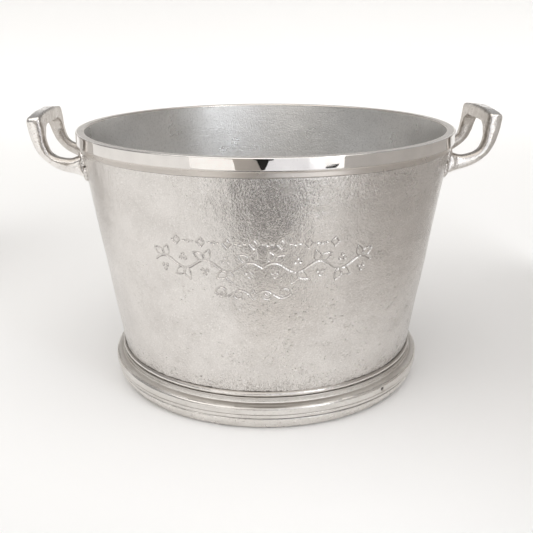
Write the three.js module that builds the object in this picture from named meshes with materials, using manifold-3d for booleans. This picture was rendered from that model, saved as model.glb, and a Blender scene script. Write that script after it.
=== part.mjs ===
// A round champagne bucket of cast and nickel-plated aluminium, in millimetres, +Z up.
// The origin is the centre of the foot's underside. The two handles stand on the X axis.
// A tapered cast wall and its floor plate stand in a stepped foot ring, on a plinth ring.
// A polished band closes the wall's upper edge, and two cast loops are welded to the wall.
import * as THREE from "three";
import { mergeVertices } from "three/addons/utils/BufferGeometryUtils.js";
import Module from "manifold-3d";

const wasm = await Module();
wasm.setup();

// ---------- driving dimensions ----------

const GAP = 0.3; // clearance between two pieces that touch
const AROUND = 72; // facets round the vessel's axis

const RIM_RADIUS = 190; // outside of the polished band
const RIM_TOP = 261.5; // height of the rim above the table
const BAND_HEIGHT = 12; // of the band's upright face
const STEP_HEIGHT = 5.2; // of the narrower step under that face
const STEP_DEPTH = 3;
const RIM_BORE = 181.8; // inside radius at the rim
const BAND_EASE = 1.2; // rounding of the band's edges

const WALL_FOOT_RADIUS = 154.5; // outside of the wall where it meets the foot
const WALL_FOOT_HEIGHT = 34.3;
const WALL_TAPER = 0.151; // growth of the radius for each millimetre of height
const BORE_TAPER = 0.142; // the same inside, so the wall thickens from 5 mm to 7 mm upwards

const FLOOR_THICKNESS = 6;
const SEAT_HEIGHT = 28; // ledge in the foot ring that carries the wall and the floor plate

const PLINTH_HEIGHT = 13;
const PLINTH_RADIUS = 162.6;
const PLINTH_BORE = 145;
const FOOT_RADIUS = 164.8; // the foot's widest moulding
const FOOT_LEDGE = 26; // height of the flat shoulder on top of that moulding
const FILLET_RADIUS = 157.4; // short upright step between the shoulder and the bead
const FILLET_TOP = 31.9;
const SEAT_BORE = 138;

const BEAD_RADIUS = 2.4; // half-round wire at the bottom of the wall

const HANDLE_REACH = 231; // from the vessel's axis to the outside of the grip
const HANDLE_TOP = 277; // top of the grip at its two ends
const CROWN = 3.5; // further rise of the grip's top at its middle
const HANDLE_WIDTH = 95; // across both legs, along Y
const LEG_WIDTH = 11; // of one leg, along Y
const WINDOW_TOP = 267; // underside of the grip
const WINDOW_ARCH = 16; // rounding of the window's upper corners
const SIDE_EASE = 3.5; // rounding of the legs' edges, measured along Y
const EDGE_EASE = 2; // the same, measured across the leg

const WELD_REACH = 3.5; // how far a weld bead stands off the wall
const WELD_WIDTH = 3; // how far it spreads round the leg

// ---------- materials ----------

const finish = (color, roughness) =>
  new THREE.MeshStandardMaterial({ color, roughness, metalness: 1 });
const roughCast = finish(0xc9c4bd, 0.45);
const polished = finish(0xdcd8d3, 0.12);
const satin = finish(0xbdbab5, 0.35);
const weldMetal = finish(0xd2cdc6, 0.3);

// ---------- helpers ----------

const bucket = new THREE.Group();

function add(name, geometry, material) {
  const mesh = new THREE.Mesh(geometry, material.clone());
  mesh.name = name;
  bucket.add(mesh);
  return mesh;
}

// Revolves a closed outline of [radius, height] pairs, listed anticlockwise, about +Z.
function revolve(outline) {
  const points = outline.map(([r, z]) => new THREE.Vector2(r, z));
  if (outline[0][0] > 0) points.push(points[0].clone());
  return new THREE.LatheGeometry(points, AROUND).rotateX(Math.PI / 2);
}

// Points of an arc from one angle to another, in degrees, as [radius, height] pairs.
function arc(r, z, size, from, to, steps) {
  return Array.from({ length: steps + 1 }, (_, i) => {
    const a = THREE.MathUtils.degToRad(from + ((to - from) * i) / steps);
    return [r + size * Math.cos(a), z + size * Math.sin(a)];
  });
}

function solid(geometry) {
  const bare = geometry.index ? geometry.toNonIndexed() : geometry.clone();
  bare.deleteAttribute("normal");
  bare.deleteAttribute("uv");
  const merged = mergeVertices(bare, 1e-3);
  return new wasm.Manifold(
    new wasm.Mesh({
      numProp: 3,
      vertProperties: new Float32Array(merged.attributes.position.array),
      triVerts: new Uint32Array(merged.index.array),
    }),
  );
}

function geometryOf(manifold) {
  const mesh = manifold.getMesh();
  const geometry = new THREE.BufferGeometry();
  geometry.setAttribute("position", new THREE.BufferAttribute(mesh.vertProperties, 3));
  geometry.setIndex(new THREE.BufferAttribute(mesh.triVerts, 1));
  return geometry;
}

const wallRadius = (z) => WALL_FOOT_RADIUS + WALL_TAPER * (z - WALL_FOOT_HEIGHT);
const boreRadius = (z) => RIM_BORE - BORE_TAPER * (RIM_TOP - z);

// ---------- the vessel ----------

const bandBottom = RIM_TOP - BAND_HEIGHT;
const stepBottom = bandBottom - STEP_HEIGHT;
const wallTop = stepBottom - GAP;
const wallBottom = SEAT_HEIGHT + GAP;

// A plain tapered tube.
function wall() {
  return revolve([
    [wallRadius(wallBottom), wallBottom],
    [wallRadius(wallTop), wallTop],
    [boreRadius(wallTop), wallTop],
    [boreRadius(wallBottom), wallBottom],
  ]);
}

// The polished band, flat on top, with a narrower step underneath that rests on the wall.
// Its inside carries on the line of the wall's.
function rimBand() {
  const e = BAND_EASE;
  const step = RIM_RADIUS - STEP_DEPTH;
  return revolve([
    [step - 0.6, stepBottom],
    [step, stepBottom + 0.6],
    [step, bandBottom],
    ...arc(RIM_RADIUS - e, bandBottom + e, e, -90, 0, 3),
    ...arc(RIM_RADIUS - e, RIM_TOP - e, e, 0, 90, 3),
    ...arc(RIM_BORE + e, RIM_TOP - e, e, 90, 180, 3),
    [boreRadius(stepBottom), stepBottom],
  ]);
}

function floorPlate() {
  const radius = boreRadius(wallBottom) - GAP;
  const top = wallBottom + FLOOR_THICKNESS;
  return revolve([
    [0, wallBottom],
    [radius - 0.5, wallBottom],
    [radius, wallBottom + 0.5],
    [radius, top],
    [0, top],
  ]);
}

// The stepped foot: a wide rounded moulding, a flat shoulder and an upright fillet.
function footRing() {
  const bottom = PLINTH_HEIGHT + GAP;
  const step = bottom + 4.1;
  const edge = 2.2;
  return revolve([
    [FOOT_RADIUS - 1.6, bottom],
    [FOOT_RADIUS - 0.9, bottom + 1],
    [FOOT_RADIUS - 0.8, step],
    [FOOT_RADIUS, step + 0.5],
    ...arc(FOOT_RADIUS - edge, FOOT_LEDGE - 0.7 - edge, edge, 0, 80, 4),
    [FILLET_RADIUS + 0.4, FOOT_LEDGE + 0.5],
    [FILLET_RADIUS - 0.2, FOOT_LEDGE + 1.2],
    [FILLET_RADIUS, FILLET_TOP - 0.8],
    [FILLET_RADIUS - 0.8, FILLET_TOP],
    [wallRadius(FILLET_TOP) + GAP, FILLET_TOP],
    [wallRadius(SEAT_HEIGHT) + GAP, SEAT_HEIGHT],
    [SEAT_BORE, SEAT_HEIGHT],
    [SEAT_BORE, SEAT_HEIGHT - 6],
    [PLINTH_BORE + 2, bottom],
  ]);
}

// The lowest ring, with a chamfered bottom edge and a slight swell.
function plinthRing() {
  const base = PLINTH_RADIUS - 8.8;
  return revolve([
    [base, 0],
    ...arc(base, 4, 4, -70, 0, 3),
    [PLINTH_RADIUS - 3.1, 5.6],
    [PLINTH_RADIUS - 1.3, 6.3],
    [PLINTH_RADIUS - 0.2, 8.6],
    [PLINTH_RADIUS, 12.2],
    [PLINTH_RADIUS - 0.8, PLINTH_HEIGHT],
    [PLINTH_BORE, PLINTH_HEIGHT],
    [PLINTH_BORE, 0],
  ]);
}

// Half-round wire round the bottom of the wall, just above the foot.
function wallBead() {
  const middle = FILLET_TOP + GAP + BEAD_RADIUS;
  const radius = wallRadius(middle) + GAP;
  const low = middle - BEAD_RADIUS;
  const high = middle + BEAD_RADIUS;
  return revolve([
    [wallRadius(low) + GAP, low],
    ...arc(radius, middle, BEAD_RADIUS, -70, 75, 6),
    [wallRadius(high) + GAP, high],
  ]);
}

// ---------- the handles ----------

// Side profile of a loop, in (X, Z): out of the wall, then round and up to the grip.
function loopProfile() {
  const x = HANDLE_REACH;
  const z = HANDLE_TOP;
  const through = (pairs) => pairs.map(([dx, dz]) => new THREE.Vector2(x - dx, z - dz));
  const shape = new THREE.Shape();
  shape.moveTo(x - 57, z - 60.5);
  shape.splineThru(
    through([
      [45, 56.7],
      [35.4, 54.6],
      [24, 50],
      [12.8, 41.6],
      [6.2, 31],
      [1.8, 17],
      [0, 5],
    ]),
  );
  shape.lineTo(x - 0.6, z - 2.2);
  shape.lineTo(x - 2.6, z - 0.6);
  shape.lineTo(x - 12.6, z);
  shape.lineTo(x - 14.5, z - 1.3);
  shape.lineTo(x - 15.2, z - 4);
  shape.splineThru(
    through([
      [16.7, 14],
      [18, 26],
      [21, 34.4],
      [26.2, 38.4],
      [33.2, 40.4],
      [40.2, 40.8],
      [47.2, 39],
    ]),
  );
  shape.lineTo(x - 57, z - 33);
  shape.closePath();
  return shape;
}

// Turns a shape drawn in (Y, Z) and extruded along its third axis to run along X.
const alongX = new THREE.Matrix4().makeBasis(
  new THREE.Vector3(0, 1, 0),
  new THREE.Vector3(0, 0, 1),
  new THREE.Vector3(1, 0, 0),
);

// The opening between the legs, cut right through the loop along X.
function loopWindow(half) {
  const r = WINDOW_ARCH;
  const low = HANDLE_TOP - 80;
  const shape = new THREE.Shape();
  shape.moveTo(-half, low);
  shape.lineTo(half, low);
  shape.lineTo(half, WINDOW_TOP - r);
  shape.absarc(half - r, WINDOW_TOP - r, r, 0, Math.PI / 2, false);
  shape.absarc(r - half, WINDOW_TOP - r, r, Math.PI / 2, Math.PI, false);
  shape.closePath();
  return new THREE.ExtrudeGeometry(shape, {
    depth: 90,
    bevelEnabled: false,
    curveSegments: 6,
  })
    .applyMatrix4(alongX)
    .translate(HANDLE_REACH - 75, 0, 0);
}

// The whole loop before it is trimmed to the wall, grown on every side by a margin.
function loop(margin) {
  const width = HANDLE_WIDTH + 2 * margin;
  const slab = new THREE.ExtrudeGeometry(loopProfile(), {
    depth: width - 2 * SIDE_EASE,
    steps: 10,
    bevelThickness: SIDE_EASE,
    bevelSize: EDGE_EASE,
    bevelOffset: margin - EDGE_EASE,
    bevelSegments: 2,
    curveSegments: 2,
  });
  slab.translate(0, 0, SIDE_EASE - width / 2).rotateX(Math.PI / 2);
  const place = slab.attributes.position;
  for (let i = 0; i < place.count; i++) {
    const share = (2 * place.getY(i)) / width;
    const lift = THREE.MathUtils.smoothstep(place.getZ(i), HANDLE_TOP - 12, HANDLE_TOP - 4);
    place.setZ(i, place.getZ(i) + CROWN * lift * (1 - share * share));
  }
  const half = HANDLE_WIDTH / 2 - LEG_WIDTH - margin;
  return solid(slab).subtract(solid(loopWindow(half)));
}

// The vessel's outside, grown by a margin, over the heights where the handles stand.
function vesselCore(margin) {
  const low = HANDLE_TOP - 90;
  return solid(
    revolve([
      [0, low],
      [wallRadius(low) + margin, low],
      [wallRadius(stepBottom) + margin, stepBottom],
      [0, stepBottom],
    ]),
  );
}

// Half of space in front of or behind the handle's middle.
function halfSpace(sign) {
  return solid(new THREE.BoxGeometry(400, 200, 400).translate(200, 100 * sign, 200));
}

// ---------- assembly ----------

add("bowl_wall", wall(), roughCast);
add("floor_plate", floorPlate(), satin);
add("rim_band", rimBand(), polished);
add("wall_bead", wallBead(), polished);
add("foot_ring", footRing(), polished);
add("plinth_ring", plinthRing(), polished);

const core = vesselCore(GAP);
const grip = geometryOf(loop(0).subtract(core));
const collars = loop(WELD_WIDTH).intersect(vesselCore(WELD_REACH)).subtract(loop(GAP)).subtract(core);
for (const side of ["right", "left"]) {
  const turn = side === "left" ? Math.PI : 0;
  add(`handle_${side}`, grip, polished).rotation.z = turn;
  for (const end of ["front", "rear"]) {
    const local = (end === "front") === (side === "right") ? -1 : 1;
    const bead = geometryOf(collars.intersect(halfSpace(local)));
    add(`handle_weld_${side}_${end}`, bead, weldMetal).rotation.z = turn;
  }
}

export default bucket;
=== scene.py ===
import math

import bmesh
import bpy
import numpy as np
from mathutils import Matrix, Vector, kdtree


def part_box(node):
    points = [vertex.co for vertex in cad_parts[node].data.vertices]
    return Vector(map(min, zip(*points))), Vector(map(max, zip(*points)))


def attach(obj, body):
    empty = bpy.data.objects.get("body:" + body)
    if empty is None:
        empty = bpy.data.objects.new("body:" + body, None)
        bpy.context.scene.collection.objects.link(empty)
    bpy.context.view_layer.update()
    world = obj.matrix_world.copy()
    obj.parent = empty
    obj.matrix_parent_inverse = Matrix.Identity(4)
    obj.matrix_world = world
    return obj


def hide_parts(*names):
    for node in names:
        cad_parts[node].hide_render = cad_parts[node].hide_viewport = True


# The looks of a round champagne bucket in nickel-plated cast aluminium. The CAD nodes give the
# main places and sizes. Finer meshes with the casting's own relief and wear stand for them.

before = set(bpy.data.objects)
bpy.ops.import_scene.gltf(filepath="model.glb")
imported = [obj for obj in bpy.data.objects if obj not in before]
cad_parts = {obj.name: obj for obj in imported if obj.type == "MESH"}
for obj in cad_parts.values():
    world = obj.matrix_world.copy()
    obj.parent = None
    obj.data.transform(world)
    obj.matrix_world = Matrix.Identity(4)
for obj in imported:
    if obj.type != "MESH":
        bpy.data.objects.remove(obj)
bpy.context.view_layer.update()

MM = 0.001
SEED = 7

# Each piece's noise has its own number, so that no two pieces share a pattern. A piece that draws
# more than once counts on from its number.
WALL_NOISE, BORE_NOISE, FLOOR_NOISE, RIM_NOISE = 1, 21, 31, 41
FOOT_NOISE, PLINTH_NOISE, NICK_NOISE, BEAD_NOISE = 51, 61, 65, 71
HANDLE_NOISE, WELD_NOISE = 80, 95

# ---------------- sizes, in metres

rim_lo, rim_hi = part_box("rim_band")
wall_lo, wall_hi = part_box("bowl_wall")
bead_lo, bead_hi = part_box("wall_bead")
foot_lo, foot_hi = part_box("foot_ring")
plinth_lo, plinth_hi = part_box("plinth_ring")
floor_lo, floor_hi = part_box("floor_plate")

# What the boxes of the CAD pieces don't tell.
WALL_TAPER = 0.151  # growth of the wall's radius for each unit of height
BORE_TAPER = 0.142  # the same for the inside
RIM_BORE = 181.8 * MM  # inner radius of the rim's flat top
BAND_HEIGHT = 12 * MM  # the rim's bright band, above its narrow step
STEP_DEPTH = 3 * MM  # how far the step stands back from the band
LEDGE_HEIGHT = 12.7 * MM  # the foot's flat shoulder, above the foot ring's underside
FILLET_RADIUS = 157.3 * MM  # where the foot rises from its shoulder
FOOT_BORE = 147 * MM
SEAT_HEIGHT = 28 * MM  # top of the ledge inside the foot that carries wall and floor
SEAT_BORE = 138 * MM
SEAT_THICKNESS = 6 * MM
PLINTH_BORE = 145 * MM


def wall_radius(z):
    return wall_hi.x - WALL_TAPER * (wall_hi.z - z)


def bore_radius(z):
    return RIM_BORE - BORE_TAPER * (rim_hi.z - z)


# ---------------- helpers: noise and meshes


def rng(number):
    return np.random.default_rng(SEED * 1000 + number)


def band_noise(number, rows, cols, step_row, step_col, low, high, stretch=1.0):
    """Noise of unit spread that repeats across the columns, with waves from low to high long.

    Steps and wavelengths share one unit. Stretch above 1 draws the waves out along the rows."""
    white = rng(number).standard_normal((rows, cols))
    fr = np.fft.fftfreq(rows, step_row)[:, None]
    fc = np.fft.rfftfreq(cols, step_col)[None, :] * stretch
    f = np.hypot(fr, fc)
    keep = np.exp(-((f * low) ** 4)) * (1 - np.exp(-((f * high) ** 4)))
    out = np.fft.irfft2(np.fft.rfft2(white) * keep, s=(rows, cols))
    return out / out.std()


def sample(field, u, v):
    """Bilinear value of a field at fractional row u and column v, wrapping across the columns."""
    rows, cols = field.shape
    u = np.clip(u, 0, rows - 1.001)
    i, j = np.floor(u).astype(int), np.floor(v).astype(int)
    a, b = u - i, v - j
    j0, j1 = j % cols, (j + 1) % cols
    top = field[i, j0] * (1 - b) + field[i, j1] * b
    low = field[i + 1, j0] * (1 - b) + field[i + 1, j1] * b
    return top * (1 - a) + low * a


def smoothstep(x, low, high):
    t = np.clip((x - low) / (high - low), 0, 1)
    return t * t * (3 - 2 * t)


def hump(x, middle, width):
    return np.exp(-(((x - middle) / width) ** 2))


def new_material(name):
    """A material with nodes, and its Principled shader."""
    material = bpy.data.materials.new(name)
    material.use_nodes = True
    return material, material.node_tree.nodes["Principled BSDF"]


def new_piece(name, mesh):
    piece = bpy.data.objects.new(name, mesh)
    bpy.context.scene.collection.objects.link(piece)
    return piece


def grid_mesh(name, points, closed=True, poles=(), **layers):
    """A mesh of quads from points[row, column, xyz]. Closed joins the last column to the first.

    Poles lists single points that close the first or last row as a fan, as ("first", xyz)."""
    rows, cols, _ = points.shape
    index = np.arange(rows * cols).reshape(rows, cols)
    right = np.roll(index, -1, 1) if closed else index[:, 1:]
    left = index if closed else index[:, :-1]
    quads = np.stack([left[:-1], right[:-1], right[1:], left[1:]], -1).reshape(-1, 4)
    verts = points.reshape(-1, 3)
    fans = []
    for which, pole in poles:
        row = index[0] if which == "first" else index[-1]
        tip = len(verts)
        verts = np.vstack([verts, np.asarray(pole, float)[None]])
        ahead = np.roll(row, -1)
        pairs = (ahead, row) if which == "first" else (row, ahead)
        fans.append(np.stack([pairs[0], pairs[1], np.full(cols, tip)], -1))
    tris = np.vstack(fans) if fans else np.zeros((0, 3), int)
    mesh = bpy.data.meshes.new(name)
    mesh.vertices.add(len(verts))
    mesh.vertices.foreach_set("co", verts.astype(np.float32).ravel())
    loops = np.concatenate([quads.ravel(), tris.ravel()]).astype(np.int32)
    mesh.loops.add(len(loops))
    mesh.loops.foreach_set("vertex_index", loops)
    starts = np.concatenate([np.arange(len(quads)) * 4, len(quads) * 4 + np.arange(len(tris)) * 3])
    mesh.polygons.add(len(quads) + len(tris))
    mesh.polygons.foreach_set("loop_start", starts.astype(np.int32))
    mesh.polygons.foreach_set("use_smooth", np.ones(len(starts), bool))
    for key, values in layers.items():
        add_layer(mesh, key, np.concatenate([np.ravel(values), np.zeros(len(verts) - rows * cols)]))
    mesh.update(calc_edges=True)
    mesh.validate()
    return new_piece(name, mesh)


def add_layer(mesh, name, values):
    """One number for each vertex, which the materials read by name."""
    layer = mesh.attributes.new(name, "FLOAT", "POINT")
    layer.data.foreach_set("value", values.astype(np.float32))


def settle(piece, material, *nodes, slot):
    """Gives a piece its material and lets it stand for its CAD nodes on the one body."""
    piece.data.materials.clear()
    piece.data.materials.append(material)
    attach(piece, "root")
    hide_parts(*nodes)


def rounded(corners):
    """A closed outline of (radius, height) with each corner rounded by its third number."""
    out = []
    for k, (r, z, ease) in enumerate(corners):
        here = np.array([r, z])
        before = np.array(corners[k - 1][:2]) - here
        after = np.array(corners[(k + 1) % len(corners)][:2]) - here
        a = here + before / np.linalg.norm(before) * ease
        b = here + after / np.linalg.norm(after) * ease
        for t in np.linspace(0, 1, 6 if ease > 0 else 1):
            out.append((1 - t) ** 2 * a + 2 * t * (1 - t) * here + t**2 * b)
    return np.array(out)


def resample(outline, step):
    """Points along a closed outline no further apart than step, corners kept."""
    out = []
    for a, b in zip(outline, np.roll(outline, -1, 0)):
        n = max(1, int(math.ceil(np.linalg.norm(b - a) / step)))
        out.extend(a + (b - a) * t for t in np.arange(n) / n)
    return np.array(out)


def outline_normals(outline):
    """Outward normals of a closed outline listed anticlockwise in (radius, height)."""
    along = np.roll(outline, -1, 0) - np.roll(outline, 1, 0)
    out = np.stack([along[:, 1], -along[:, 0]], -1)
    return out / np.linalg.norm(out, axis=1)[:, None]


RING_COLS = 900


def from_front(angle):
    """Angle from the front (-Y), growing to the right, of an angle counted from +X."""
    return np.arctan2(np.cos(angle), -np.sin(angle))


def turned_ring(name, outline, height_of, **layer_of):
    """A ring turned about Z from a closed outline, pushed along its normals by height_of.

    height_of takes the outline, the length along it and the angles. Each layer takes the
    outline's radii and heights and the angles. Both give a grid of outline points and angles."""
    normal = outline_normals(outline)
    angle = np.arange(RING_COLS) / RING_COLS * 2 * math.pi
    along = np.concatenate([[0], np.cumsum(np.linalg.norm(np.diff(outline, axis=0), axis=1))])
    push = height_of(outline, along, angle)
    r = outline[:, 0][:, None] + normal[:, 0][:, None] * push
    z = outline[:, 1][:, None] + normal[:, 1][:, None] * push
    points = np.stack([r * np.cos(angle), r * np.sin(angle), z + 0 * angle], -1)
    points = np.concatenate([points, points[:1]], 0)
    layers = {}
    for key, make in layer_of.items():
        values = make(*outline.T, angle)
        layers[key] = np.concatenate([values, values[:1]], 0)
    ring = grid_mesh(name, points, **layers)
    weld_rows(ring)
    return ring


def weld_rows(piece):
    """Joins the repeated first and last row of a ring into one."""
    bm = bmesh.new()
    bm.from_mesh(piece.data)
    bmesh.ops.remove_doubles(bm, verts=bm.verts, dist=1e-7)
    bm.to_mesh(piece.data)
    bm.free()


# ---------------- ornament cut into the wall

# Angles are measured from the front (-Y), growing to the right. Lengths are arc lengths on
# the wall at the ornament's middle radius, in millimetres.
ORNAMENT_CENTRE = math.radians(-3.0)
ORNAMENT_RADIUS = 174.5
ORNAMENT_DEPTH = 0.8
MAP_STEP = 0.3  # between the samples of the ornament's map
MAP_LEFT, MAP_RIGHT = -112.0, 112.0
MAP_LOW, MAP_HIGH = 124.0, 198.0  # heights above the bucket's underside


def circle(x, y, radius, points):
    t = np.radians(np.linspace(0, 360, points))
    return np.stack([x + radius * np.cos(t), y + radius * np.sin(t)], -1)


def lozenge(x, y, half_width, half_height):
    corners = [(-half_width, 0), (0, half_height), (half_width, 0), (0, -half_height)]
    return np.array(corners + corners[:1]) + [x, y]


def turn(points, degrees, place):
    """Points turned anticlockwise about the origin, then moved from there to a place."""
    a = math.radians(degrees)
    spin = np.array([[math.cos(a), math.sin(a)], [-math.sin(a), math.cos(a)]])
    return points @ spin + place


def leaf(length, width):
    """The two edges of a pointed leaf that grows along +X from the origin."""
    t = np.linspace(0, 1, 14)
    half = width / 2 * np.sin(math.pi * t**0.8)
    upper = np.stack([t * length, half], -1)
    lower = np.stack([t * length, -half], -1)
    return [upper, lower]


def spiral(turns, size, flip):
    """A scroll that unwinds from its eye to the origin."""
    t = np.linspace(0.12, 1, 44)
    a = turns * 2 * math.pi * (1 - t)
    x = size * t * np.cos(a) - size
    y = flip * size * t * np.sin(a)
    return np.stack([x, y], -1)


# A stroke is a line and half the width it is cut to.


def top_row(strokes):
    """Lozenges and dots in turn, like a beaded border."""
    middle, centre, spacing, count = 186.4, -6.5, 11.6, 13
    for k in range(count):
        x = centre + (k - (count - 1) / 2) * spacing
        if k % 2 == 0:
            strokes.append((lozenge(x, middle, 3.6, 4.1), 0.6))
        else:
            strokes.append((circle(x, middle, 0.8, 12), 0.8))
            for side in (-1, 1):
                dash = np.array([[x + side * 3.0, middle], [x + side * 4.6, middle]])
                strokes.append((dash, 0.5))


def vine(strokes):
    """A winding stem with leaves and berries on alternate sides, mirrored about its middle."""
    middle, half, wave, swing = 164.8, 100.0, 40.0, 4.6
    x = np.linspace(0, half, 160)
    y = swing * np.sin(2 * math.pi * x / wave)
    for side in (-1, 1):
        strokes.append((np.stack([side * x, middle + y], -1), 0.8))
        for k in range(5):
            at = wave / 4 + k * wave / 2
            up = 1 if k % 2 == 0 else -1
            root = np.array([side * at, middle + swing * up])
            for tilt, length in ((112, 11.5), (34, 12.5)):
                for line in leaf(length, 6.6):
                    aim = tilt * up if side > 0 else 180 - tilt * up
                    strokes.append((turn(line, aim, root), 0.42))
            berry = root + np.array([side * 1.0, -up * 9.4])
            for dx, dy in ((-2.2, 0), (2.2, 0), (0, -up * 3.6)):
                strokes.append((circle(berry[0] + dx, berry[1] + dy, 0.7, 10), 0.85))


def flourish(strokes):
    """Two pairs of scrolls that meet at a lozenge."""
    middle, centre, half_line = 139.2, -8.5, 0.65
    start, stop, swing = 3.2, 34, 3.6  # the stem's reach from the centre and how far it waves
    for side in (-1, 1):
        for reach, size, flip in ((stop, 6.4, 1), (17, 5.0, -1)):
            curl = spiral(1.1, size, flip) * [side, 1]
            strokes.append((curl + [centre + side * reach, middle + flip * 0.6], half_line))
        x = np.linspace(start, stop, 50)
        y = swing * np.sin((x - start) / (stop - start) * 2 * math.pi)
        strokes.append((np.stack([centre + side * x, middle + y], -1), half_line))
    strokes.append((lozenge(centre, middle, 3.0, 5.0), half_line))


def span(a, b, reach, start, count):
    """First and last sample of a map's axis within reach of the stretch from a to b."""
    first = int((min(a, b) - reach - start) / MAP_STEP)
    last = int((max(a, b) + reach - start) / MAP_STEP) + 2
    return max(0, first), min(count, last)


def ornament_map():
    """Depth of cut, 0 to 1, on a regular grid of height and arc length."""
    strokes = []
    top_row(strokes)
    vine(strokes)
    flourish(strokes)
    xs = np.arange(MAP_LEFT, MAP_RIGHT, MAP_STEP)
    zs = np.arange(MAP_LOW, MAP_HIGH, MAP_STEP)
    depth = np.zeros((len(zs), len(xs)))
    soft = 0.45  # width of the cut's sloping edge
    for line, half_width in strokes:
        reach = half_width + soft + MAP_STEP
        for a, b in zip(line[:-1], line[1:]):
            i0, i1 = span(a[1], b[1], reach, MAP_LOW, len(zs))
            j0, j1 = span(a[0], b[0], reach, MAP_LEFT, len(xs))
            if i1 <= i0 or j1 <= j0:
                continue
            gx, gz = np.meshgrid(xs[j0:j1], zs[i0:i1])
            d = b - a
            t = np.clip(((gx - a[0]) * d[0] + (gz - a[1]) * d[1]) / max(d @ d, 1e-9), 0, 1)
            gap = np.hypot(gx - a[0] - t * d[0], gz - a[1] - t * d[1])
            cut = 1 - smoothstep(gap, half_width - soft * 0.5, half_width + soft)
            patch = depth[i0:i1, j0:j1]
            np.maximum(patch, cut, out=patch)
    return depth


# ---------------- the wall

RELIEF_STEP = 0.5  # millimetres between the samples of the cast relief
RELIEF_ROWS, RELIEF_COLS = 448, 2176  # enough to cover the wall's height and its way round


def cast_relief():
    """Height of the cast skin in millimetres, how deep in a pit each point is, and its wear.

    Rows go up the wall and columns go round it from the front."""

    def noise(number, low, high, stretch=1.0):
        size = RELIEF_ROWS, RELIEF_COLS, RELIEF_STEP, RELIEF_STEP
        return band_noise(WALL_NOISE + number, *size, low, high, stretch)

    swell = noise(0, 60, 260)
    lumps = noise(1, 10, 30)
    grains = noise(2, 1.9, 4.4)
    fine = noise(3, 1.1, 2.2)
    pits = np.clip(noise(4, 1.1, 3.0) - 0.85, 0, 2.2)
    streaks = np.clip(noise(5, 1.2, 5.0, stretch=3.5) - 0.65, 0, 2.0)
    patches = smoothstep(noise(6, 24, 110), -0.9, 1.0)
    clusters = smoothstep(noise(7, 9, 45, stretch=2.0), -0.1, 1.1)
    upright = noise(8, 26, 70, stretch=0.22)
    wiped = noise(9, 6, 18, stretch=5.0)
    column = np.arange(RELIEF_COLS) / RELIEF_COLS * 2 * math.pi
    front = np.arctan2(np.sin(column), np.cos(column))  # angle from the front, + to the right
    worn_side = smoothstep(front, -0.75, 0.05) * (1 - smoothstep(front, 2.4, 3.0))
    height_share = np.arange(RELIEF_ROWS)[:, None] / RELIEF_ROWS
    near_top = smoothstep(height_share, 0.72, 0.95)
    near_foot = 1 - smoothstep(height_share, 0.01, 0.16)
    rough = 0.42 + 0.33 * worn_side[None] + 0.45 * near_top * worn_side[None] + 0.8 * near_foot
    rough = rough * (0.6 + 0.4 * patches)
    low_down = 0.3 + 0.7 * (1 - smoothstep(height_share, 0.4, 0.75))
    cut = (0.14 + 0.22 * near_foot) * pits + 0.16 * streaks * clusters * low_down
    speckle = 0.042 * grains + 0.034 * fine
    relief = 0.17 * swell + 0.04 * lumps + 0.03 * upright + rough * (speckle - cut)
    relief = relief + 0.055 * wiped * (0.25 + 0.75 * near_top)
    return relief, np.clip(cut * rough * 4.0, 0, 1), rough + 0 * relief


def wall_angles():
    """Angles from the front, growing to the right, closer together where the ornament is."""
    front_half = math.radians(38)
    fine = np.linspace(-front_half, front_half, 460, endpoint=False)
    coarse = np.linspace(front_half, 2 * math.pi - front_half, 900, endpoint=False)
    return np.concatenate([fine, coarse])


def wall_heights():
    """Heights up the wall, closer together where the ornament is."""
    fine_low, fine_high = (MAP_LOW + 2) * MM, MAP_HIGH * MM
    below = np.arange(wall_lo.z, fine_low, 0.8 * MM)
    beside = np.arange(fine_low, fine_high, 0.5 * MM)
    above = np.arange(fine_high, wall_hi.z, 0.75 * MM)
    return np.concatenate([below, beside, above, [wall_hi.z]])


def ornament_cut(angle, z):
    """Depth of the ornament's cut, 0 to 1, at each height and angle of the wall."""
    swing = np.arctan2(np.sin(angle - ORNAMENT_CENTRE), np.cos(angle - ORNAMENT_CENTRE))
    x = (swing * ORNAMENT_RADIUS)[None] + 0 * z
    inside = (x > MAP_LEFT + 1) & (x < MAP_RIGHT - 1) & (z > MAP_LOW + 1) & (z < MAP_HIGH - 1)
    u = np.where(inside, (z - MAP_LOW) / MAP_STEP, 0)
    v = np.where(inside, (x - MAP_LEFT) / MAP_STEP, 0)
    return np.where(inside, sample(ornament_map(), u, v), 0.0)


def make_wall():
    """The wall's outer skin, as cast, with the ornament cut into its front."""
    relief, pit, wear = cast_relief()
    angle = wall_angles()
    zs = wall_heights()
    u = (zs - wall_lo.z)[:, None] / MM / RELIEF_STEP + 0 * angle
    v = (angle / (2 * math.pi) * RELIEF_COLS)[None] + 0 * zs[:, None]
    z = (zs / MM)[:, None] + 0 * angle
    cut = ornament_cut(angle, z)
    height = sample(relief, u, v) - ORNAMENT_DEPTH * cut
    low, high = wall_lo.z / MM, wall_hi.z / MM
    ends = smoothstep(z, low, low + 3) * (1 - smoothstep(z, high - 2, high))
    highest, settled = 0.6, 0.25  # so that no point stands out past the rim's step above it
    push = np.minimum(height * ends, highest) * MM - settled * MM
    r = wall_radius(zs)[:, None] + push
    points = np.stack([r * np.sin(angle), -r * np.cos(angle), zs[:, None] + 0 * angle], -1)
    pits, worn = sample(pit, u, v), sample(wear, u, v)
    return grid_mesh("bowl_wall", points, pit=pits, wear=worn, carve=cut)


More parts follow.
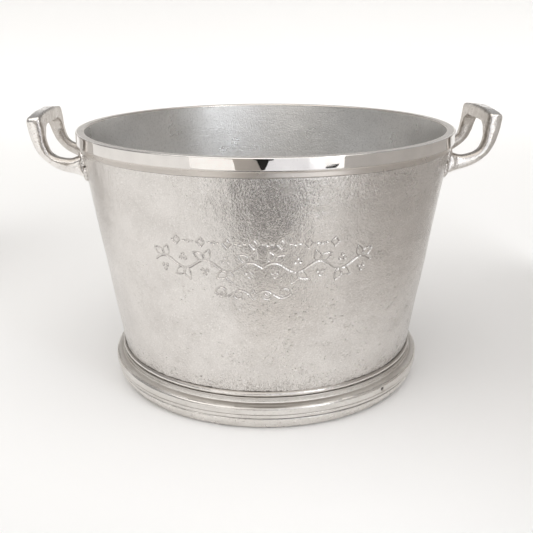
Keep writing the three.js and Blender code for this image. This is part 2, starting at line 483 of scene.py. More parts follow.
def make_bore():
    """The wall's inside, from the rim down to the floor, with a turned and dented finish."""
    rows = np.linspace(rim_hi.z - 1.6 * MM, wall_lo.z, 165)
    cols = 640
    angle = np.arange(cols) / cols * 2 * math.pi
    step_row, step_col = 1.45, 1.7
    dents = band_noise(BORE_NOISE, len(rows), cols, step_row, step_col, 14, 55)
    ripple = band_noise(BORE_NOISE + 1, len(rows), cols, step_row, step_col, 3.5, 9)
    height = (0.02 * dents + 0.018 * ripple) * MM
    ends = smoothstep(rows, wall_lo.z, wall_lo.z + 8 * MM)
    r = bore_radius(rows)[:, None] + height * ends[:, None]
    points = np.stack([r * np.cos(angle), r * np.sin(angle), rows[:, None] + 0 * angle], -1)
    return grid_mesh("bowl_inside", points)


def make_floor():
    """The floor plate, slightly dented, with a rounded edge."""
    out = floor_hi.x
    near_edge = np.array([3, 2, 1.2, 0.6, 0.2, 0]) * MM  # steps in from the edge, for the rounding
    radii = np.concatenate([np.linspace(1.5 * MM, out - 4 * MM, 90), out - near_edge])
    cols = 360
    angle = np.arange(cols) / cols * 2 * math.pi
    samples, step = 512, 0.7
    field = band_noise(FLOOR_NOISE, samples, samples, step, step, 12, 60)
    x = radii[:, None] * np.cos(angle)
    y = radii[:, None] * np.sin(angle)
    bumps = sample(field, samples / 2 + x / MM / step, samples / 2 + y / MM / step)
    edge = smoothstep(radii, out - 5 * MM, out)[:, None]
    sunk = 0.15  # how far the surface lies below the CAD plate's, in millimetres
    z = floor_hi.z + (0.05 * bumps * (1 - edge) - sunk - 0.9 * edge) * MM
    top = np.stack([x, y, z], -1)[::-1]
    low = np.stack([x, y, floor_lo.z + 0 * z], -1)
    points = np.concatenate([low, top], 0)
    poles = [("first", (0, 0, floor_hi.z - sunk * MM)), ("last", (0, 0, floor_lo.z))]
    return grid_mesh("floor_plate", points[::-1], poles=poles)


# ---------------- the turned rings


def ring_height(number, long_wave, short_wave):
    """A height function for turned_ring: long dents and short polishing waves, in millimetres."""

    def make(outline, along, angle):
        step_col = outline[:, 0].mean() * 2 * math.pi / len(angle) / MM
        rows = 128
        dents = band_noise(number, rows, len(angle), 1.0, step_col, 16, 70)
        waves = band_noise(number + 1, rows, len(angle), 1.0, step_col, 3.5, 11)
        u = (along / MM)[:, None] % (rows - 2) + 0 * angle
        v = np.arange(len(angle))[None] + 0.0 * along[:, None]
        return (long_wave * sample(dents, u, v) + short_wave * sample(waves, u, v)) * MM

    return make


def make_rim():
    out, top, low = rim_hi.x, rim_hi.z, rim_lo.z
    band = top - BAND_HEIGHT
    step = out - STEP_DEPTH
    corners = [
        (bore_radius(low) + 0.6 * MM, low, 0),
        (step, low, 0.9 * MM),
        (step - 0.2 * MM, band - 0.5 * MM, 0.6 * MM),
        (out - 0.4 * MM, band, 0.5 * MM),
        (out, band + 1.3 * MM, 0.7 * MM),
        (out, top, 0.9 * MM),
        (RIM_BORE, top, 1.1 * MM),
        (bore_radius(top - 2.2 * MM) + 0.05 * MM, top - 2.2 * MM, 0),
        (bore_radius(top - 3.4 * MM) + 0.6 * MM, top - 3.4 * MM, 0),
        (bore_radius(band) + 0.6 * MM, band, 0),
    ]
    outline = resample(rounded(corners), 0.5 * MM)

    def satin(r, z, angle):
        """1 on the narrow step and nearly 1 on the flat top, which weren't polished as bright."""
        on_step = (1 - smoothstep(z, band + 1.0 * MM, band + 2.0 * MM)) * (r > step - 3 * MM)
        near_top = smoothstep(z, top - 2.8 * MM, top - 2.2 * MM)
        on_top = 0.9 * near_top * (1 - smoothstep(r, out - 1.7 * MM, out - 0.9 * MM))
        return (on_step + on_top)[:, None] + 0 * angle

    height = ring_height(RIM_NOISE, 0.006, 0.0005)
    return turned_ring("rim_band", outline, height, satin=satin)


def make_foot():
    out, low, high = foot_hi.x, foot_lo.z, foot_hi.z
    ledge, fillet = low + LEDGE_HEIGHT, FILLET_RADIUS
    corners = [
        (FOOT_BORE, low, 0),
        (out - 1.8 * MM, low, 0.8 * MM),
        (out - 0.8 * MM, low + 1.4 * MM, 0.6 * MM),
        (out - 0.9 * MM, low + 3.5 * MM, 0.3 * MM),
        (out - 1.7 * MM, low + 4.1 * MM, 0.25 * MM),
        (out - 0.1 * MM, low + 4.8 * MM, 0.35 * MM),
        (out, ledge - 1.6 * MM, 2.2 * MM),
        (out - 2.6 * MM, ledge - 0.3 * MM, 1.6 * MM),
        (fillet + 1.2 * MM, ledge + 0.3 * MM, 1.2 * MM),
        (fillet, ledge + 1.4 * MM, 0.9 * MM),
        (fillet, high, 0.9 * MM),
        (wall_radius(high) + 0.3 * MM, high, 0),
        (wall_radius(SEAT_HEIGHT) + 0.3 * MM, SEAT_HEIGHT, 0),
        (SEAT_BORE, SEAT_HEIGHT, 0),
        (SEAT_BORE, SEAT_HEIGHT - SEAT_THICKNESS, 0),
    ]
    outline = resample(rounded(corners), 1.0 * MM)

    def grime(r, z, angle):
        """Painted shade, with some dark polish, in the corners, the narrow groove and under the
        bead; painted shade on the shoulder and its edge at the front, and in the casting hole.
        """
        corner = hump(r, fillet + 1.0 * MM, 1.6 * MM) * hump(z, ledge, 1.2 * MM)
        groove = hump(z, low + 4.1 * MM, 0.5 * MM) * (r > out - 2.5 * MM)
        shoulder = smoothstep(z, ledge - 1.4 * MM, ledge - 0.4 * MM)
        shoulder = shoulder * (z < ledge + 1 * MM) * (r > fillet)
        edge = hump(z, ledge - 1.3 * MM, 0.9 * MM) * (r > out - 3 * MM)
        under_bead = smoothstep(z, high - 3 * MM, high - 0.8 * MM) * (r > fillet - 1 * MM)
        front = from_front(angle)[None]
        constant = 0.5 * corner + 0.7 * groove + 0.15 * shoulder + 0.5 * under_bead
        at_front = 0.5 * shoulder[:, None] * hump(front, 0, 0.5)
        at_front = at_front + 0.75 * edge[:, None] * hump(front, -0.02, 0.24)
        return np.clip(constant[:, None] + at_front + blowhole(r, z, angle), 0, 1)

    def matt(r, z, angle):
        """1 on the flat shoulder, which was sanded but not polished."""
        on = smoothstep(z, ledge - 1.0 * MM, ledge - 0.3 * MM)
        on = on * (z < ledge + 1.6 * MM) * (r > fillet - 0.5 * MM)
        return on[:, None] + 0 * angle

    def blowhole(r, z, angle):
        """1 in a small casting hole on the foot's outer face, to the right of the front."""
        hole_angle, hole_height, wider = math.radians(41.6), low + 8.0 * MM, 1.3
        around = (from_front(angle) - hole_angle) * out
        up = z - hole_height
        gap = np.hypot(around[None] / wider, up[:, None]) / MM
        return (1 - smoothstep(gap, 0.9, 1.9)) * (r > out - 3 * MM)[:, None]

    base = ring_height(FOOT_NOISE, 0.05, 0.014)

    def height(outline, along, angle):
        return base(outline, along, angle) - 1.6 * MM * blowhole(*outline.T, angle)

    return turned_ring("foot_ring", outline, height, grime=grime, matt=matt, hole=blowhole)


def make_plinth():
    out, low, high = plinth_hi.x, plinth_lo.z, plinth_hi.z
    corners = [
        (PLINTH_BORE, low, 0),
        (out - 8.8 * MM, low, 0),
        (out - 4.8 * MM, low + 1.0 * MM, 2.0 * MM),
        (out - 4.4 * MM, low + 5.0 * MM, 0.5 * MM),
        (out - 1.6 * MM, low + 6.2 * MM, 0.6 * MM),
        (out - 0.2 * MM, low + 8.2 * MM, 1.2 * MM),
        (out, high - 1.2 * MM, 0.9 * MM),
        (out - 1.0 * MM, high, 0.6 * MM),
        (PLINTH_BORE, high, 0),
    ]
    outline = resample(rounded(corners), 0.9 * MM)
    base = ring_height(PLINTH_NOISE, 0.05, 0.03)

    def ragged(outline, along, angle):
        """The seam edge at the top and the cast bottom edge are uneven."""
        r, z = outline.T[:, :, None]
        push = base(outline, along, angle)
        step_col = out * 2 * math.pi / len(angle) / MM
        nicks = band_noise(NICK_NOISE, 32, len(angle), 1.0, step_col, 2.0, 9)
        u = np.clip(z / MM * 1.6, 0, 30) + 0 * angle
        v = np.arange(len(angle))[None] + 0.0 * z
        near_seam = smoothstep(z, high - 2.2 * MM, high)
        near_base = 1 - smoothstep(z, low + 1.5 * MM, low + 6 * MM)
        shown = r > out - 12 * MM
        bite = np.clip(sample(nicks, u, v) - 0.2, 0, 2)
        return push - shown * bite * (0.28 * near_seam + 0.22 * near_base) * MM

    def grime(r, z, angle):
        """Painted shade with dark polish in the seam, weaker towards the left."""
        near = smoothstep(z, high - 1.6 * MM, high)[:, None]
        return near * (0.3 + 0.7 * smoothstep(from_front(angle), -0.6, 0.1))[None]

    ring = turned_ring("plinth_ring", outline, ragged, grime=grime)
    for vertex in ring.data.vertices:
        vertex.co.z = max(vertex.co.z, low)
    return ring


def make_bead():
    out, low, high = bead_hi.x, bead_lo.z, bead_hi.z
    corners = [
        (wall_radius(low) + 0.2 * MM, low, 0),
        (out - 1.0 * MM, low + 0.1 * MM, 0.8 * MM),
        (out, (low + high) / 2, 1.5 * MM),
        (out - 1.4 * MM, high - 0.3 * MM, 1.0 * MM),
        (wall_radius(high) + 0.2 * MM, high, 0),
    ]
    outline = resample(rounded(corners), 0.6 * MM)

    def grime(r, z, angle):
        """Painted shade with dark polish where the bead meets the wall above and the foot below."""
        above = smoothstep(z, high - 1.9 * MM, high - 0.6 * MM)
        below = 1 - smoothstep(z, low + 0.2 * MM, low + 1.1 * MM)
        return np.clip(0.95 * above + 0.7 * below, 0, 1)[:, None] + 0 * angle

    height = ring_height(BEAD_NOISE, 0.05, 0.05)
    return turned_ring("wall_bead", outline, height, grime=grime)


# ---------------- handles and welds


def soften(piece, voxel, passes):
    """Rebuilds a piece as an even fine skin and rounds its edges."""
    remesh = piece.modifiers.new("even", "REMESH")
    remesh.mode = "VOXEL"
    remesh.voxel_size = voxel
    remesh.use_smooth_shade = True
    smooth = piece.modifiers.new("round", "SMOOTH")
    smooth.factor = 0.5
    smooth.iterations = passes
    bpy.context.view_layer.update()
    graph = bpy.context.evaluated_depsgraph_get()
    mesh = bpy.data.meshes.new_from_object(piece.evaluated_get(graph))
    old = piece.data
    piece.modifiers.clear()
    piece.data = mesh
    bpy.data.meshes.remove(old)


def mesh_arrays(piece):
    """Places and normals of a piece's vertices."""
    mesh = piece.data
    co = np.zeros(len(mesh.vertices) * 3, np.float32)
    no = np.zeros(len(mesh.vertices) * 3, np.float32)
    mesh.vertices.foreach_get("co", co)
    mesh.vertex_normals.foreach_get("vector", no)
    return co.reshape(-1, 3).astype(float), no.reshape(-1, 3).astype(float)


def wave_noise(points, number, wavelength):
    """Smooth noise at any points: a sum of random plane waves of about one wavelength."""
    count = 48
    r = rng(number)
    direction = r.standard_normal((count, 3))
    direction /= np.linalg.norm(direction, axis=1)[:, None]
    length = wavelength * r.uniform(0.7, 1.5, count)
    phase = r.uniform(0, 2 * math.pi, count)
    waves = points @ (direction / length[:, None]).T * 2 * math.pi + phase
    return np.sin(waves).sum(1) / math.sqrt(count / 2)


def push_out(piece, height):
    co, no = mesh_arrays(piece)
    piece.data.vertices.foreach_set("co", (co + no * height[:, None]).astype(np.float32).ravel())
    piece.data.update()


GRIP_HEIGHT = 262 * MM  # above this a handle is grip, below it legs


def make_handle(side, sign, number):
    """A handle made from its CAD piece, uneven from the casting and hand polishing."""
    name = "handle_" + side
    piece = new_piece(name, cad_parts[name].data.copy())
    soften(piece, 0.9 * MM, 14)
    co, _ = mesh_arrays(piece)
    lumps = 0.16 * wave_noise(co, number, 26 * MM) + 0.035 * wave_noise(co, number + 1, 8 * MM)
    pocks = np.clip(wave_noise(co, number + 2, 3.0 * MM) - 1.5, 0, 1)
    off_wall = np.hypot(co[:, 0], co[:, 1]) - wall_radius(co[:, 2])
    flare = 1.2 * hump(off_wall, 0, 8 * MM)
    push_out(piece, (lumps + 0.25 - 0.24 * pocks + flare - crown_drop(piece)) * MM)
    # Mask for the darker, rougher inner faces: partly unbuffed metal, partly painted shade.
    add_layer(piece.data, "unbuffed_and_shaded", inner_faces(piece, sign))
    return piece


def crown_drop(piece):
    """Millimetres by which each point of a handle's skin sinks.

    The flat sides, which face along Y, fall away to their edges. The other faces lie as low."""
    co, no = mesh_arrays(piece)
    flat = np.abs(no[:, 1]) > 0.75
    top = (no[:, 2] > 0.5) & (co[:, 2] > GRIP_HEIGHT)
    edge = np.flatnonzero(~flat & ~top)
    tree = kdtree.KDTree(len(edge))
    for k, vertex in enumerate(edge):
        tree.insert(co[vertex], k)
    tree.balance()
    half, drop = 6.5 * MM, 1.1  # half a leg's width, and how much lower its edges lie
    fall = np.zeros(len(co))
    for vertex in np.flatnonzero(flat):
        share = min(tree.find(co[vertex])[2] / half, 1)
        fall[vertex] = (1 - share) ** 2
    fall[~flat] = 1
    return drop * fall - 0.35 * drop


def inner_faces(piece, sign):
    """1 where the loop faces its own opening or the bucket, or faces up below the grip or down on
    it, which a buffing wheel can't reach. The material paints these faces darker, partly as
    unbuffed metal and partly as painted shade.
    """
    co, no = mesh_arrays(piece)
    inward = smoothstep(-no[:, 0] * sign, 0.1, 0.55)
    off_grip = 1 - smoothstep(co[:, 2], GRIP_HEIGHT - 10 * MM, GRIP_HEIGHT)
    on_grip = smoothstep(co[:, 2], GRIP_HEIGHT - 12 * MM, GRIP_HEIGHT - 4 * MM)
    upward = smoothstep(no[:, 2], 0.1, 0.5) * off_grip
    under = smoothstep(-no[:, 2], 0.4, 0.9) * on_grip
    sides = smoothstep(-np.sign(co[:, 1]) * no[:, 1], 0.3, 0.8)
    return np.clip(inward + upward + under + 0.7 * sides, 0, 1)


def squared(share):
    """Pulls a cosine or sine out towards 1, so that it draws a rounded square, not a circle."""
    return np.sign(share) * abs(share) ** 0.55


def make_weld(node, sign, number):
    """A run of weld drops laid round the root of a leg, melted together."""
    lo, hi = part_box(node)
    middle_y, middle_z = (lo.y + hi.y) / 2, (lo.z + hi.z) / 2
    half_y, half_z = (hi.y - lo.y) / 2 - 2.4 * MM, (hi.z - lo.z) / 2 - 2.6 * MM
    count, jitter, draw_in = 54, 0.35, 0.08
    r = rng(number)
    bm = bmesh.new()
    for k in range(count):
        a = 2 * math.pi * (k + 0.4 * r.uniform()) / count
        y = middle_y + half_y * squared(math.cos(a))
        z = middle_z + half_z * squared(math.sin(a))
        y += r.normal(0, jitter) * MM
        z += r.normal(0, jitter) * MM
        size = r.uniform(1.7, 2.8) * MM
        off = r.uniform(-0.4, 1.2)  # further off the wall, the drops draw in to the leg
        y += (middle_y - y) * draw_in * off
        z += (middle_z - z) * draw_in * off
        x = math.sqrt(max(wall_radius(z) ** 2 - y * y, 0)) + off * MM
        made = bmesh.ops.create_icosphere(bm, subdivisions=2, radius=size)
        bmesh.ops.translate(bm, verts=made["verts"], vec=Vector((sign * x, y, z)))
    mesh = bpy.data.meshes.new(node)
    bm.to_mesh(mesh)
    bm.free()
    piece = new_piece(node, mesh)
    soften(piece, 0.45 * MM, 13)
    co, _ = mesh_arrays(piece)
    push_out(piece, (0.25 + 0.12 * wave_noise(co, number + 1, 3.6 * MM)) * MM)
    return piece


# ---------------- materials


class Shader:
    """Short way to build a node material around one Principled shader.

    A layer that the mesh doesn't have reads 0, so one recipe serves pieces with and without it."""

    def __init__(self, name):
        self.material, self.bsdf = new_material(name)
        self.tree = self.material.node_tree
        self.place = self.tree.nodes.new("ShaderNodeTexCoord").outputs["Object"]

    def node(self, kind, **settings):
        made = self.tree.nodes.new(kind)
        for key, value in settings.items():
            setattr(made, key, value)
        return made

    def link(self, source, target):
        self.tree.links.new(source, target)

    def noise(self, size, detail=3.0, rough=0.55, place=None):
        """Noise whose features are about size metres across."""
        made = self.node("ShaderNodeTexNoise")
        made.inputs["Scale"].default_value = 1 / size
        made.inputs["Detail"].default_value = detail
        made.inputs["Roughness"].default_value = rough
        self.link(place or self.place, made.inputs["Vector"])
        return made.outputs["Fac"]

    def round_marks(self, stretch):
        """Place along, out from and up the turned surface, drawn out by stretch along it."""
        typical_radius = 0.17
        split = self.node("ShaderNodeSeparateXYZ")
        self.link(self.place, split.inputs["Vector"])
        x, y, z = split.outputs
        angle = self.math("ARCTAN2", y, x)
        square = self.math("ADD", self.math("MULTIPLY", x, x), self.math("MULTIPLY", y, y))
        radius = self.math("SQRT", square, 0.0)
        joined = self.node("ShaderNodeCombineXYZ")
        self.link(self.math("MULTIPLY", angle, typical_radius / stretch), joined.inputs["X"])
        self.link(radius, joined.inputs["Y"])
        self.link(z, joined.inputs["Z"])
        return joined.outputs["Vector"]

    def layer(self, name):
        return self.node("ShaderNodeAttribute", attribute_name=name).outputs["Fac"]

    def remap(self, value, low, high, to_low, to_high):
        made = self.node("ShaderNodeMapRange", clamp=True)
        made.inputs["From Min"].default_value = low
        made.inputs["From Max"].default_value = high
        made.inputs["To Min"].default_value = to_low
        made.inputs["To Max"].default_value = to_high
        self.link(value, made.inputs["Value"])
        return made.outputs["Result"]

    def math(self, operation, a, b):
        made = self.node("ShaderNodeMath", operation=operation)
        for value, socket in zip((a, b), made.inputs):
            if isinstance(value, (int, float)):
                socket.default_value = value
            else:
                self.link(value, socket)
        return made.outputs["Value"]

    def ramp(self, value, stops):
        made = self.node("ShaderNodeValToRGB")
        ends = made.color_ramp.elements
        while len(ends) < len(stops):
            ends.new(0.5)
        for element, (at, colour) in zip(ends, stops):
            element.position = at
            element.color = (*colour, 1)
        self.link(value, made.inputs["Fac"])
        return made.outputs["Color"]

    def blend(self, amount, a, b):
        made = self.node("ShaderNodeMix", data_type="RGBA")
        self.link(amount, made.inputs["Factor"])
        for colour, socket in ((a, "A"), (b, "B")):
            target = [s for s in made.inputs if s.name == socket and s.type == "RGBA"][0]
            if isinstance(colour, tuple):
                target.default_value = (*colour, 1)
            else:
                self.link(colour, target)
        return [s for s in made.outputs if s.type == "RGBA"][0]

    def bump(self, value, height, before=None):
        """Bump of a 0 to 1 value that stands for that many metres."""
        made = self.node("ShaderNodeBump")
        made.inputs["Strength"].default_value = 1.0
        made.inputs["Distance"].default_value = height
        self.link(value, made.inputs["Height"])
        if before is not None:
            self.link(before, made.inputs["Normal"])
        return made.outputs["Normal"]

    def share(self, layer, amount):
        return self.math("MULTIPLY", self.layer(layer), amount)

    def more(self, value, layer, amount):
        """A value raised by amount where the layer is 1."""
        return self.math("ADD", value, self.share(layer, amount))

    def finish(self, colour, roughness, normal):
        self.link(colour, self.bsdf.inputs["Base Color"])
        self.link(roughness, self.bsdf.inputs["Roughness"])
        self.link(normal, self.bsdf.inputs["Normal"])
        self.bsdf.inputs["Metallic"].default_value = 1.0
        return self.material


def cast_skin():
    """Nickel over a rough casting: bright where it was buffed, dull and dark in the pits."""
    s = Shader("cast_skin")
    tones = [(0.3, (0.675, 0.645, 0.618)), (0.5, (0.74, 0.71, 0.682)), (0.7, (0.785, 0.755, 0.727))]
    base = s.ramp(s.noise(30 * MM, 5, 0.6), tones)
    flecks = s.remap(s.noise(1.6 * MM, 3, 0.7), 0.52, 0.66, 0.0, 0.62)
    base = s.blend(s.math("MULTIPLY", flecks, s.layer("wear")), base, (0.48, 0.455, 0.43))
    glints = s.remap(s.noise(1.5 * MM, 2, 0.6), 0.58, 0.66, 0.0, 0.6)
    base = s.blend(glints, base, (0.93, 0.91, 0.89))
    base = s.blend(s.layer("pit"), base, (0.38, 0.355, 0.33))
    # Painted shade in the ornament's cuts.
    base = s.blend(s.share("carve", 0.35), base, (0.46, 0.435, 0.41))
    rough = s.remap(s.noise(45 * MM, 5, 0.6), 0.3, 0.7, 0.16, 0.25)
    rough = s.more(rough, "pit", 0.2)
    rough = s.more(rough, "wear", 0.03)
    normal = s.bump(s.noise(1.2 * MM, 2, 0.6), 0.22 * MM)
    normal = s.bump(s.noise(2.2 * MM, 3, 0.6), 0.30 * MM, normal)
    return s.finish(base, rough, normal)


def polished_nickel(name, haze, spread, marks, waves):
    """Mirror nickel with haze, specks and turned marks.

    Roughness runs from haze to haze + spread. Marks and waves are bump heights in millimetres."""
    s = Shader(name)
    bright = (0.84, 0.81, 0.78)
    dull = tuple(c * 0.9 for c in bright)
    base = s.ramp(s.noise(22 * MM, 3), [(0.3, dull), (0.7, bright)])
    specks = s.remap(s.noise(0.8 * MM, 2), 0.66, 0.76, 0.0, 0.6)
    base = s.blend(specks, base, (0.45, 0.43, 0.41))
    base = s.blend(s.share("satin", 0.8), base, (0.60, 0.555, 0.51))
    # Painted shade with dark polish where a piece marks its creases.
    base = s.blend(s.share("grime", 0.9), base, (0.33, 0.30, 0.27))
    rough = s.remap(s.noise(14 * MM, 5, 0.65), 0.35, 0.75, haze, haze + spread)
    rough = s.more(rough, "satin", 0.26)
    rough = s.more(rough, "grime", 0.25)
    normal = s.bump(s.noise(0.7 * MM, 3, 0.6, s.round_marks(18)), marks * MM)
    normal = s.bump(s.noise(5 * MM, 2), waves * MM, normal)
    return s.finish(base, rough, normal)


def cast_grip():
    """Hand-polished casting: bright outside, darker and rougher on its inner faces, where the
    darker colour is partly painted shade.
    """
    s = Shader("grip_nickel")
    base = s.ramp(s.noise(12 * MM, 3), [(0.3, (0.80, 0.77, 0.74)), (0.7, (0.91, 0.885, 0.855))])
    specks = s.remap(s.noise(1.8 * MM, 4), 0.57, 0.67, 0.0, 0.65)
    base = s.blend(specks, base, (0.44, 0.40, 0.365))
    # Inner faces darker: partly unbuffed metal, partly painted shade.
    patchy = s.math("MULTIPLY", s.layer("unbuffed_and_shaded"), s.remap(s.noise(6 * MM, 4), 0.3, 0.6, 0.6, 1.0))
    base = s.blend(patchy, base, (0.43, 0.39, 0.35))
    rough = s.remap(s.noise(9 * MM, 5, 0.65), 0.35, 0.7, 0.09, 0.19)
    rough = s.more(rough, "unbuffed_and_shaded", 0.16)
    normal = s.bump(s.noise(1.6 * MM, 3), 0.09 * MM)
    normal = s.bump(s.noise(5 * MM, 2), 0.10 * MM, normal)
    return s.finish(base, rough, normal)


def satin_foot():
    """The foot's nickel, buffed round by hand: satin, with brown polish and painted shade in its
    corners.
    """
    s = Shader("foot_nickel")
    tones = [(0.3, (0.67, 0.64, 0.605)), (0.65, (0.80, 0.775, 0.745))]
    base = s.ramp(s.noise(16 * MM, 4, 0.6, s.round_marks(3)), tones)
    specks = s.remap(s.noise(1.2 * MM, 3), 0.56, 0.70, 0.0, 0.55)
    base = s.blend(specks, base, (0.46, 0.43, 0.40))
    base = s.blend(s.layer("grime"), base, (0.33, 0.30, 0.27))
    # Painted shade: the casting hole is coloured near black.
    base = s.blend(s.layer("hole"), base, (0.03, 0.028, 0.026))
    rough = s.remap(s.noise(9 * MM, 5, 0.65, s.round_marks(4)), 0.3, 0.7, 0.16, 0.30)
    rough = s.more(rough, "grime", 0.3)
    rough = s.more(rough, "matt", 0.22)
    normal = s.bump(s.noise(0.8 * MM, 3, 0.6, s.round_marks(14)), 0.05 * MM)
    normal = s.bump(s.noise(2.2 * MM, 3), 0.10 * MM, normal)
    grit = s.math("MULTIPLY", s.noise(1.3 * MM, 3), s.layer("matt"))
    normal = s.bump(grit, 0.35 * MM, normal)
    return s.finish(base, rough, normal)


def seam_nickel():
    """Polished nickel whose upper edge holds dark polish and painted shade in the seam."""
    s = Shader("plinth_nickel")
    base = s.ramp(s.noise(18 * MM, 3), [(0.3, (0.72, 0.69, 0.655)), (0.7, (0.82, 0.79, 0.755))])
    specks = s.remap(s.noise(1.3 * MM, 3), 0.56, 0.70, 0.0, 0.7)
    base = s.blend(specks, base, (0.42, 0.395, 0.37))
    base = s.blend(s.layer("grime"), base, (0.10, 0.095, 0.09))
    rough = s.remap(s.noise(9 * MM, 5, 0.65), 0.3, 0.7, 0.16, 0.32)
    rough = s.more(rough, "grime", 0.4)
    normal = s.bump(s.noise(1.8 * MM, 3), 0.12 * MM)
    return s.finish(base, rough, normal)


def brushed_inside():
    """Dull nickel of the inside, brushed round and lightly stained."""
    s = Shader("inside_nickel")
    base = s.ramp(s.noise(40 * MM, 5), [(0.3, (0.65, 0.64, 0.625)), (0.7, (0.745, 0.735, 0.72))])
    specks = s.remap(s.noise(2.2 * MM, 4, 0.65), 0.50, 0.66, 0.0, 0.5)
    base = s.blend(specks, base, (0.47, 0.46, 0.445))
    rough = s.remap(s.noise(25 * MM, 5), 0.3, 0.7, 0.26, 0.36)
    normal = s.bump(s.noise(1.0 * MM, 3, 0.6, s.round_marks(3)), 0.16 * MM)
    normal = s.bump(s.noise(1.6 * MM, 3), 0.33 * MM, normal)
    return s.finish(base, rough, normal)


def weld_metal():
    """Nickel over weld beads, with dark polish left between the drops."""
    s = Shader("weld_nickel")
    base = s.ramp(s.noise(4 * MM, 4), [(0.3, (0.62, 0.59, 0.56)), (0.7, (0.80, 0.77, 0.74))])
    base = s.blend(s.remap(s.noise(1.4 * MM, 3), 0.55, 0.7, 0, 0.8), base, (0.30, 0.28, 0.26))
    rough = s.remap(s.noise(3 * MM, 3), 0.3, 0.7, 0.14, 0.30)
    normal = s.bump(s.noise(0.9 * MM, 3), 0.10 * MM)
    return s.finish(base, rough, normal)


# ---------------- build the object

settle(make_wall(), cast_skin(), "bowl_wall", slot="cast_wall")
INSIDE = brushed_inside()
settle(make_bore(), INSIDE, "bowl_wall", slot="cast_wall")
settle(make_floor(), INSIDE, "floor_plate", slot="satin_floor")
BAND = polished_nickel("band_nickel", 0.01, 0.035, marks=0.001, waves=0.003)
settle(make_rim(), BAND, "rim_band", slot="polished_nickel")
BEAD = polished_nickel("bead_nickel", 0.14, 0.07, marks=0.01, waves=0.012)
settle(make_bead(), BEAD, "wall_bead", slot="polished_nickel")
settle(make_foot(), satin_foot(), "foot_ring", slot="polished_nickel")
settle(make_plinth(), seam_nickel(), "plinth_ring", slot="polished_nickel")
GRIP = cast_grip()
WELD = weld_metal()
for number, (side, sign) in enumerate((("left", -1), ("right", 1))):
    handle = make_handle(side, sign, HANDLE_NOISE + 5 * number)
    settle(handle, GRIP, "handle_" + side, slot="polished_handle")
    for step, end in enumerate(("front", "rear")):
        node = f"handle_weld_{side}_{end}"
        weld = make_weld(node, sign, WELD_NOISE + 7 * number + 3 * step)
        settle(weld, WELD, node, slot="weld_metal")

# ---------------- studio


def plain(name, colour, roughness=0.8):
    material, bsdf = new_material(name)
    bsdf.inputs["Base Color"].default_value = (*colour, 1)
    bsdf.inputs["Roughness"].default_value = roughness
    return material


def glow(name, colour, strength):
    material, bsdf = new_material(name)
    bsdf.inputs["Emission Color"].default_value = (*colour, 1)
    bsdf.inputs["Emission Strength"].default_value = strength
    return material


def sweep(name, material):
    """A floor that curves up into a low white wall behind the object."""
    width, front, back, ease, top = 5.0, -4.0, 1.7, 0.5, 0.75
    side = [(front, 0.0), (back, 0.0)]
    for k in range(1, 13):
        a = math.pi / 2 * k / 12
        side.append((back + ease * math.sin(a), ease * (1 - math.cos(a))))
    side.append((back + ease, top))
    points = np.array([[(x, y, z) for x in (-width, width)] for y, z in side])
    piece = grid_mesh(name, points, closed=False)
    piece.data.materials.append(material)


def board(name, corners, material):
    """A board for the polished metal to mirror.

    The camera never sees it, so it doesn't hide the bucket in views from other sides."""
    mesh = bpy.data.meshes.new(name)
    mesh.from_pydata(corners, [], [tuple(range(len(corners)))])
    piece = new_piece(name, mesh)
    piece.data.materials.append(material)
    piece.visible_camera = False
    return piece


def floor_mat(name, corners, material):
    """A board just above the floor, from (x, y) corners. It takes no light off the floor."""
    mat = board(name, [(x, y, 2 * MM) for x, y in corners], material)
    mat.visible_shadow = False
    mat.visible_diffuse = False


def side_board(name, x, near, far, material):
    """A board that stands to one side of the bucket, from y near to y far."""
    top = 0.5
    board(name, [(x, near, 0), (x, far, 0), (x, far, top), (x, near, top)], material)


def front_board(name, y, corners, material):
    """A board that stands across the front at that y, from (x, z) corners."""
    board(name, [(x, y, z) for x, z in corners], material)


SHADE = plain("shade", (0.02, 0.019, 0.018), 0.9)

sweep("studio_floor", plain("paper", (0.90, 0.895, 0.89), 0.75))
floor_mat("dark_mat", [(-0.165, -0.445), (-0.29, -0.76), (0.235, -0.76), (0.13, -0.445)], SHADE)
side_board("right_board", 0.45, -0.60, 0.28, plain("grey_board", (0.63, 0.61, 0.595)))
side_board("left_board", -0.55, 0.14, 0.50, plain("left_board", (0.70, 0.675, 0.65)))
floor_mat(
    "front_mat",
    [(-0.11, -0.44), (0.30, -0.44), (0.24, -0.26), (-0.06, -0.26)],
    plain("front_mat", (0.76, 0.735, 0.71)),
)
floor_mat(
    "right_mat",
    [(0.215, -0.32), (0.44, -0.32), (0.44, 0.10), (0.365, 0.10)],
    plain("mat_board", (0.71, 0.69, 0.675)),
)
front_board(
    "window",
    -1.05,
    [(-0.055, 0), (0.70, 0), (0.90, 0.09), (0.95, 1.0), (-0.055, 1.0)],
    glow("window", (0.90, 0.92, 1.0), 0.45),
)
front_board(
    "bright_pane",
    -1.04,
    [(0.39, 0.4), (0.39, 0.085), (0.56, 0.06), (0.66, 0.04), (0.95, 0.0), (0.95, 0.4)],
    glow("bright_pane", (1.0, 1.0, 1.0), 0.8),
)
front_board(
    "warm_board",
    -1.06,
    [(-0.30, 0), (0.02, 0), (0.02, 0.45), (-0.50, 0.45), (-0.44, 0.15), (-0.34, 0.08)],
    plain("warm_board", (0.70, 0.655, 0.615)),
)
front_board(
    "left_window",
    -1.09,
    [(-1.0, 0), (-0.2, 0), (-0.2, 0.25), (-1.0, 0.25)],
    glow("left_window", (1.0, 0.985, 0.96), 0.62),
)
front_board(
    "flag",
    -1.0,
    [(-0.142, 0.22), (-0.142, 0.112), (-0.112, 0.109), (-0.057, 0.080)]
    + [(-0.004, 0.109), (0.037, 0.112), (0.037, 0.22)],
    SHADE,
)
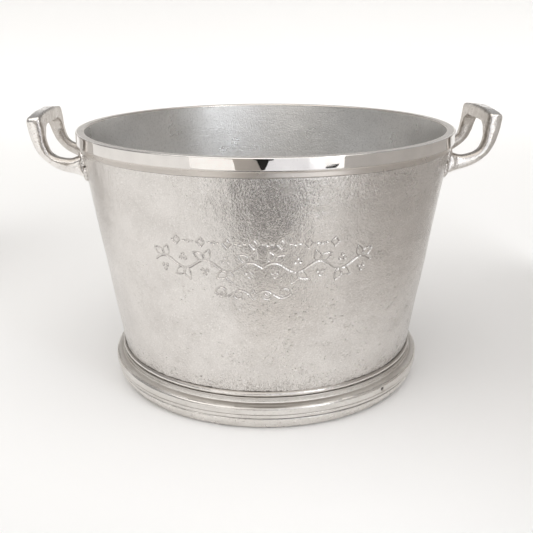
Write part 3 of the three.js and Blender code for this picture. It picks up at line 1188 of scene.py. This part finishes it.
front_board("low_flag", -1.0, [(0.55, 0.066), (0.565, 0.050), (0.61, 0.045), (0.75, 0.055)], SHADE)

world = bpy.data.worlds.new("studio")
world.use_nodes = True
background = world.node_tree.nodes["Background"]
background.inputs["Color"].default_value = (1.0, 0.99, 0.98, 1)
background.inputs["Strength"].default_value = 0.38
bpy.context.scene.world = world


def shine(lamp, direction, place=(0, 0, 0)):
    """Puts a lamp in the scene at a place, shining in a direction."""
    holder = bpy.data.objects.new(lamp.name, lamp)
    holder.location = place
    holder.rotation_mode = "QUATERNION"
    holder.rotation_quaternion = Vector(direction).to_track_quat("-Z", "Y")
    bpy.context.scene.collection.objects.link(holder)


key = bpy.data.lights.new("key", "SUN")
key.energy = 2.3
key.angle = math.radians(98)  # so wide that it lights like a bright sky
key.color = (1.0, 0.985, 0.96)
shine(key, (0.07, 0.43, -0.90))

window_light = bpy.data.lights.new("window_light", "AREA")
window_light.shape = "RECTANGLE"
window_light.size, window_light.size_y = 0.7, 0.5
window_light.energy = 7.0
window_light.color = (0.86, 0.93, 1.0)
window_place = Vector((0.55, -1.1, 0.62))
shine(window_light, Vector((-0.1, 0.1, 0.22)) - window_place, window_place)

# ---------------- camera

CAMERA_PLACE = Vector((-27.43, -785.52, 370.45)) * MM
CAMERA_AHEAD = Vector((0.03386, 0.94784, -0.31694))
CAMERA_RIGHT = Vector((0.99932, -0.03681, -0.00332))
FIELD_WIDTH = 0.7013  # width of the view at unit distance

camera = bpy.data.cameras.new("camera")
camera.sensor_width = 36
camera.lens = camera.sensor_width / FIELD_WIDTH
camera.clip_start, camera.clip_end = 0.01, 50
camera_holder = bpy.data.objects.new("camera", camera)
up = CAMERA_RIGHT.cross(CAMERA_AHEAD)
axes = Matrix((CAMERA_RIGHT, up, -CAMERA_AHEAD)).transposed()
camera_holder.matrix_world = Matrix.Translation(CAMERA_PLACE) @ axes.to_4x4()
bpy.context.scene.collection.objects.link(camera_holder)
bpy.context.scene.camera = camera_holder
bpy.context.scene.view_settings.view_transform = "Standard"
